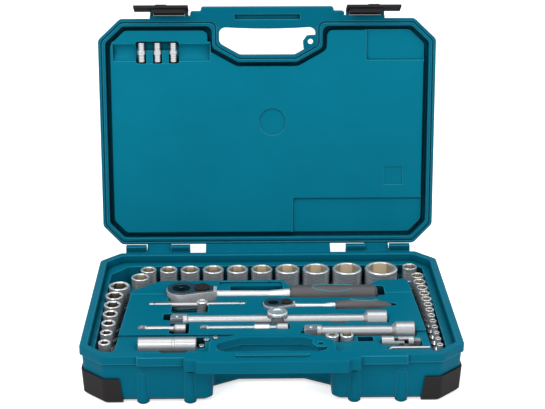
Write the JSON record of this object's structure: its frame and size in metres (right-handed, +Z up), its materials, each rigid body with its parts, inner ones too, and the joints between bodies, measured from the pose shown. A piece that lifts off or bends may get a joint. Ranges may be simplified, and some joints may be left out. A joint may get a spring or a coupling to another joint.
{
  "type": "socket wrench set",
  "caption": "Carrying case standing open with a hinged lid and latches, its tray holding drive sockets, ratchets, extension bars, T-bars and small tools for turning nuts and bolts.",
  "frame": {"origin": "on the floor, under the middle of the base's depth and width, on the base's flat foot", "axes": "+X to the right as seen from the handle side, +Y towards the hinges, +Z up"},
  "size_m": [0.428, 0.3974, 0.3733],
  "materials": {
    "case": "moulded teal plastic, fine satin grain",
    "tray": "moulded teal plastic, fine satin grain",
    "black_plastic": "black satin plastic",
    "grip": "soft black grip with teal trim",
    "chrome": "satin and polished chrome plating",
    "steel": "plain steel",
    "black_steel": "plain drawn steel",
    "rubber": "black rubber"
  },
  "bodies": {
    "base": {"base_shell": "case", "tool_tray": "tray", "guard_left": "black_plastic", "guard_right": "black_plastic", "hinge_pins": "steel"},
    "lid": {"lid_shell": "case", "lid_liner": "tray", "latch_pins": "steel"},
    "latch_left": {"latch_left": "black_plastic"},
    "latch_right": {"latch_right": "black_plastic"},
    "half_ratchet": {"half_ratchet_body": "chrome", "half_ratchet_cover": "chrome", "half_ratchet_grip": "grip", "half_ratchet_pawl": "steel"},
    "half_ratchet_drive": {"half_ratchet_drive": "steel"},
    "half_ratchet_button": {"half_ratchet_button": "chrome"},
    "half_ratchet_selector": {"half_ratchet_selector": "black_plastic"},
    "small_ratchet": {"small_ratchet_body": "chrome", "small_ratchet_cover": "chrome", "small_ratchet_grip": "grip"},
    "small_ratchet_drive": {"small_ratchet_drive": "steel"},
    "small_ratchet_selector": {"small_ratchet_selector": "black_plastic"},
    "tee_bar": {"tee_bar_rod": "chrome"},
    "tee_bar_slider": {"tee_bar_slider": "chrome"},
    "long_extension": {"long_extension": "chrome"},
    "long_tee_head": {"long_tee_head": "chrome"},
    "small_long_extension": {"small_long_extension": "chrome"},
    "spinner_sleeve": {"spinner_sleeve": "chrome"},
    "spark_socket": {"spark_socket": "chrome", "spark_socket_insert": "rubber"},
    "joint_socket_yoke": {"joint_socket_yoke": "chrome"},
    "joint_cross": {"joint_cross": "steel"},
    "joint_drive_yoke": {"joint_drive_yoke": "chrome"},
    "half_socket_01": {"half_socket_01": "chrome"},
    "half_socket_02": {"half_socket_02": "chrome"},
    "half_socket_03": {"half_socket_03": "chrome"},
    "half_socket_04": {"half_socket_04": "chrome"},
    "half_socket_05": {"half_socket_05": "chrome"},
    "half_socket_06": {"half_socket_06": "chrome"},
    "half_socket_07": {"half_socket_07": "chrome"},
    "half_socket_08": {"half_socket_08": "chrome"},
    "half_socket_09": {"half_socket_09": "chrome"},
    "half_socket_10": {"half_socket_10": "chrome"},
    "corner_socket": {"corner_socket": "chrome"},
    "star_socket_1": {"star_socket_1": "chrome"},
    "star_socket_2": {"star_socket_2": "chrome"},
    "star_socket_3": {"star_socket_3": "chrome"},
    "star_socket_4": {"star_socket_4": "chrome"},
    "star_socket_5": {"star_socket_5": "chrome"},
    "star_socket_6": {"star_socket_6": "chrome"},
    "star_socket_7": {"star_socket_7": "chrome"},
    "small_sockets_large": {"small_sockets_large": "chrome"},
    "small_sockets_fine": {"small_sockets_fine": "chrome"},
    "short_extension": {"short_extension": "chrome"},
    "small_extension": {"small_extension": "chrome"},
    "hex_key": {"hex_key": "black_steel"},
    "bit_adapter": {"bit_adapter": "chrome"},
    "drive_adapter": {"drive_adapter": "chrome"},
    "driver_bits": {"driver_bits": "steel"},
    "lid_adapters": {"lid_adapters": "chrome"}
  },
  "joints": [
    {"name": "lid_hinge", "type": "hinge", "parent": "base", "child": "lid", "pos_m": [0, 0.1572, 0.0528], "axis": [-1, 0, 0], "range_deg": [-98.2, 0]},
    {"name": "latch_left_hinge", "type": "hinge", "parent": "lid", "child": "latch_left", "pos_m": [0, 0.21399, 0.35853], "axis": [-1, 0, 0], "range_deg": [-20, 155]},
    {"name": "latch_right_hinge", "type": "hinge", "parent": "lid", "child": "latch_right", "pos_m": [0, 0.21399, 0.35853], "axis": [-1, 0, 0], "range_deg": [-20, 155]},
    {"name": "half_ratchet_lift", "type": "slide", "parent": "base", "child": "half_ratchet", "axis": [0, 0, 1], "range_m": [0, 0.042]},
    {"name": "half_ratchet_drive_spin", "type": "hinge", "parent": "half_ratchet", "child": "half_ratchet_drive", "pos_m": [-0.1073, 0.034, 0.04202], "axis": [0, 0, 1], "continuous": true},
    {"name": "half_ratchet_button_press", "type": "slide", "parent": "half_ratchet_drive", "child": "half_ratchet_button", "axis": [0, 0, -1], "range_m": [0, 0.0025], "stiffness_N_per_m": 800},
    {"name": "half_ratchet_selector_turn", "type": "hinge", "parent": "half_ratchet", "child": "half_ratchet_selector", "pos_m": [-0.082, 0.034, 0.05635], "axis": [0, 0, 1], "range_deg": [0, 70]},
    {"name": "small_ratchet_lift", "type": "slide", "parent": "base", "child": "small_ratchet", "axis": [0, 0, 1], "range_m": [0, 0.0297]},
    {"name": "small_ratchet_drive_spin", "type": "hinge", "parent": "small_ratchet", "child": "small_ratchet_drive", "pos_m": [0.0038, 0, 0.04616], "axis": [0, 0, 1], "continuous": true},
    {"name": "small_ratchet_selector_turn", "type": "hinge", "parent": "small_ratchet", "child": "small_ratchet_selector", "pos_m": [0.0193, 0, 0.05467], "axis": [0, 0, 1], "range_deg": [0, 70]},
    {"name": "long_extension_lift", "type": "slide", "parent": "base", "child": "long_extension", "axis": [0, 0, 1], "range_m": [0, 0.045]},
    {"name": "long_tee_head_slide", "type": "slide", "parent": "long_extension", "child": "long_tee_head", "axis": [1, 0, 0], "range_m": [-0.012, 0]},
    {"name": "tee_bar_lift", "type": "slide", "parent": "base", "child": "tee_bar", "axis": [0, 0, 1], "range_m": [0, 0.035]},
    {"name": "tee_bar_slider_slide", "type": "slide", "parent": "tee_bar", "child": "tee_bar_slider", "axis": [1, 0, 0], "range_m": [-0.02, 0]},
    {"name": "joint_socket_yoke_lift", "type": "slide", "parent": "base", "child": "joint_socket_yoke", "axis": [0, 0, 1], "range_m": [0, 0.0228]},
    {"name": "joint_cross_tilt", "type": "hinge", "parent": "joint_socket_yoke", "child": "joint_cross", "pos_m": [0.146, -0.096, 0.05], "axis": [0, -1, 0], "range_deg": [0, 30]},
    {"name": "joint_drive_yoke_swing", "type": "hinge", "parent": "joint_cross", "child": "joint_drive_yoke", "pos_m": [0.146, -0.096, 0.05], "axis": [0, 0, 1], "range_deg": [-6, 6]},
    {"name": "small_long_extension_lift", "type": "slide", "parent": "base", "child": "small_long_extension", "axis": [0, 0, 1], "range_m": [0, 0.022]},
    {"name": "spinner_sleeve_spin", "type": "hinge", "parent": "small_long_extension", "child": "spinner_sleeve", "pos_m": [-0.0105, -0.0585, 0.05], "axis": [1, 0, 0], "continuous": true},
    {"name": "lid_adapters_slide", "type": "slide", "parent": "lid", "child": "lid_adapters", "axis": [0, -0.9898, 0.1426], "range_m": [0, 0.014]},
    {"name": "spark_socket_lift", "type": "slide", "parent": "base", "child": "spark_socket", "axis": [0, 0, 1], "range_m": [0, 0.0264]},
    {"name": "short_extension_lift", "type": "slide", "parent": "base", "child": "short_extension", "axis": [0, 0, 1], "range_m": [0, 0.0275]},
    {"name": "small_extension_lift", "type": "slide", "parent": "base", "child": "small_extension", "axis": [0, 0, 1], "range_m": [0, 0.022]},
    {"name": "hex_key_lift", "type": "slide", "parent": "base", "child": "hex_key", "axis": [0, 0, 1], "range_m": [0, 0.029]},
    {"name": "bit_adapter_lift", "type": "slide", "parent": "base", "child": "bit_adapter", "axis": [0, 0, 1], "range_m": [0, 0.037]},
    {"name": "drive_adapter_lift", "type": "slide", "parent": "base", "child": "drive_adapter", "axis": [0, 0, 1], "range_m": [0, 0.037]},
    {"name": "driver_bits_lift", "type": "slide", "parent": "base", "child": "driver_bits", "axis": [0, 0, 1], "range_m": [0, 0.039]},
    {"name": "small_sockets_large_lift", "type": "slide", "parent": "base", "child": "small_sockets_large", "axis": [0, 0, 1], "range_m": [0, 0.035]},
    {"name": "small_sockets_fine_lift", "type": "slide", "parent": "base", "child": "small_sockets_fine", "axis": [0, 0, 1], "range_m": [0, 0.035]},
    {"name": "half_socket_01_lift", "type": "slide", "parent": "base", "child": "half_socket_01", "axis": [0, 0, 1], "range_m": [0, 0.048]},
    {"name": "half_socket_02_lift", "type": "slide", "parent": "base", "child": "half_socket_02", "axis": [0, 0, 1], "range_m": [0, 0.048]},
    {"name": "half_socket_03_lift", "type": "slide", "parent": "base", "child": "half_socket_03", "axis": [0, 0, 1], "range_m": [0, 0.048]},
    {"name": "half_socket_04_lift", "type": "slide", "parent": "base", "child": "half_socket_04", "axis": [0, 0, 1], "range_m": [0, 0.048]},
    {"name": "half_socket_05_lift", "type": "slide", "parent": "base", "child": "half_socket_05", "axis": [0, 0, 1], "range_m": [0, 0.048]},
    {"name": "half_socket_06_lift", "type": "slide", "parent": "base", "child": "half_socket_06", "axis": [0, 0, 1], "range_m": [0, 0.048]},
    {"name": "half_socket_07_lift", "type": "slide", "parent": "base", "child": "half_socket_07", "axis": [0, 0, 1], "range_m": [0, 0.05]},
    {"name": "half_socket_08_lift", "type": "slide", "parent": "base", "child": "half_socket_08", "axis": [0, 0, 1], "range_m": [0, 0.052]},
    {"name": "half_socket_09_lift", "type": "slide", "parent": "base", "child": "half_socket_09", "axis": [0, 0, 1], "range_m": [0, 0.054]},
    {"name": "half_socket_10_lift", "type": "slide", "parent": "base", "child": "half_socket_10", "axis": [0, 0, 1], "range_m": [0, 0.056]},
    {"name": "corner_socket_lift", "type": "slide", "parent": "base", "child": "corner_socket", "axis": [0, 0, 1], "range_m": [0, 0.048]},
    {"name": "star_socket_1_lift", "type": "slide", "parent": "base", "child": "star_socket_1", "axis": [0, 0, 1], "range_m": [0, 0.048]},
    {"name": "star_socket_2_lift", "type": "slide", "parent": "base", "child": "star_socket_2", "axis": [0, 0, 1], "range_m": [0, 0.048]},
    {"name": "star_socket_3_lift", "type": "slide", "parent": "base", "child": "star_socket_3", "axis": [0, 0, 1], "range_m": [0, 0.048]},
    {"name": "star_socket_4_lift", "type": "slide", "parent": "base", "child": "star_socket_4", "axis": [0, 0, 1], "range_m": [0, 0.048]},
    {"name": "star_socket_5_lift", "type": "slide", "parent": "base", "child": "star_socket_5", "axis": [0, 0, 1], "range_m": [0, 0.048]},
    {"name": "star_socket_6_lift", "type": "slide", "parent": "base", "child": "star_socket_6", "axis": [0, 0, 1], "range_m": [0, 0.048]},
    {"name": "star_socket_7_lift", "type": "slide", "parent": "base", "child": "star_socket_7", "axis": [0, 0, 1], "range_m": [0, 0.048]}
  ]
}
